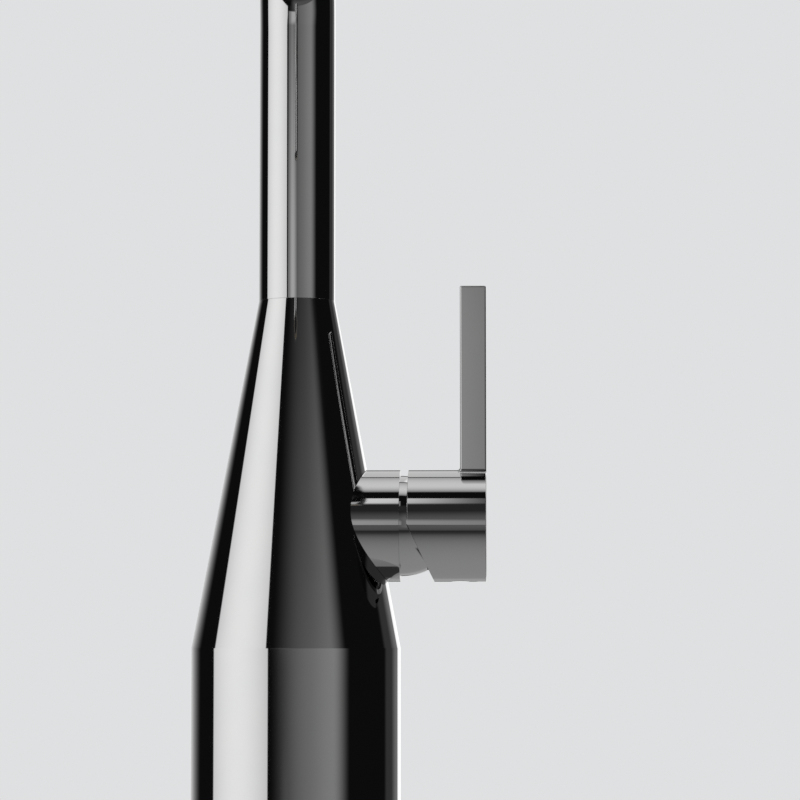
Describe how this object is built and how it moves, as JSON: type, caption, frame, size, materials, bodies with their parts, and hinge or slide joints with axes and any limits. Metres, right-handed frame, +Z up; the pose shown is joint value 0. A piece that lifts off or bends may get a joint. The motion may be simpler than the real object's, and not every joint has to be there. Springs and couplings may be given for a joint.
{
  "type": "basin mixer tap",
  "caption": "Tall chrome basin mixer tap: round body tapering as a cone to a slim swivelling arched spout, with a side hub and upright bar lever.",
  "frame": {"origin": "centre of the base ring's underside, on the basin deck", "axes": "+Z up along the body's axis, +X towards the lever, -Y towards the spout's outlet"},
  "size_m": [0.0847, 0.191, 0.369],
  "materials": {
    "chrome": "polished chrome plate on brass",
    "brass": "machined brass",
    "stainless": "plain stainless steel",
    "rubber": "black moulded rubber",
    "ceramic": "lapped white ceramic",
    "acetal": "natural acetal"
  },
  "bodies": {
    "root": {"base_ring": "chrome", "base_gasket": "rubber", "body_shell": "chrome", "valve_block": "brass", "shank": "brass", "fixing_gasket": "rubber", "fixing_washer": "stainless", "fixing_nut": "brass", "jack_screws": "stainless", "cartridge_sleeve": "chrome", "cartridge_base": "acetal", "port_seals": "rubber", "fixed_disc": "ceramic", "cartridge_housing": "acetal", "retaining_nut": "brass", "dome_collar": "chrome", "riser_tube": "brass", "riser_seals": "rubber", "spout_socket": "brass", "slip_ring": "acetal", "stop_screw": "stainless"},
    "carrier": {"stem_carrier": "acetal", "pivot_pin": "stainless"},
    "disc": {"moving_disc": "ceramic", "disc_driver": "acetal"},
    "lever": {"stem": "brass", "handle": "chrome", "set_screw": "stainless"},
    "spout": {"spout_tube": "chrome", "spout_spigot": "brass", "spigot_seals": "rubber", "outlet_bush": "brass", "aerator_shell": "chrome", "aerator_insert": "acetal", "aerator_screen": "stainless", "aerator_gasket": "rubber"}
  },
  "joints": [
    {"name": "handle_turn", "type": "hinge", "parent": "root", "child": "carrier", "pos_m": [0.0323, 0, 0.11], "axis": [1, 0, 0], "range_deg": [-45, 45]},
    {"name": "handle_tilt", "type": "hinge", "parent": "carrier", "child": "lever", "pos_m": [0.0323, 0, 0.11], "axis": [0, 1, 0], "range_deg": [0, 25]},
    {"name": "disc_slide", "type": "slide", "parent": "carrier", "child": "disc", "axis": [0, 0, 1], "range_m": [0, 0.00394]},
    {"name": "spout_swivel", "type": "hinge", "parent": "root", "child": "spout", "pos_m": [0, 0, 0.175], "axis": [0, 0, 1], "range_deg": [-60, 60]}
  ],
  "couplings": [
    {"joint": "disc_slide", "follows": "handle_tilt", "m_per_rad": 0.009008}
  ]
}
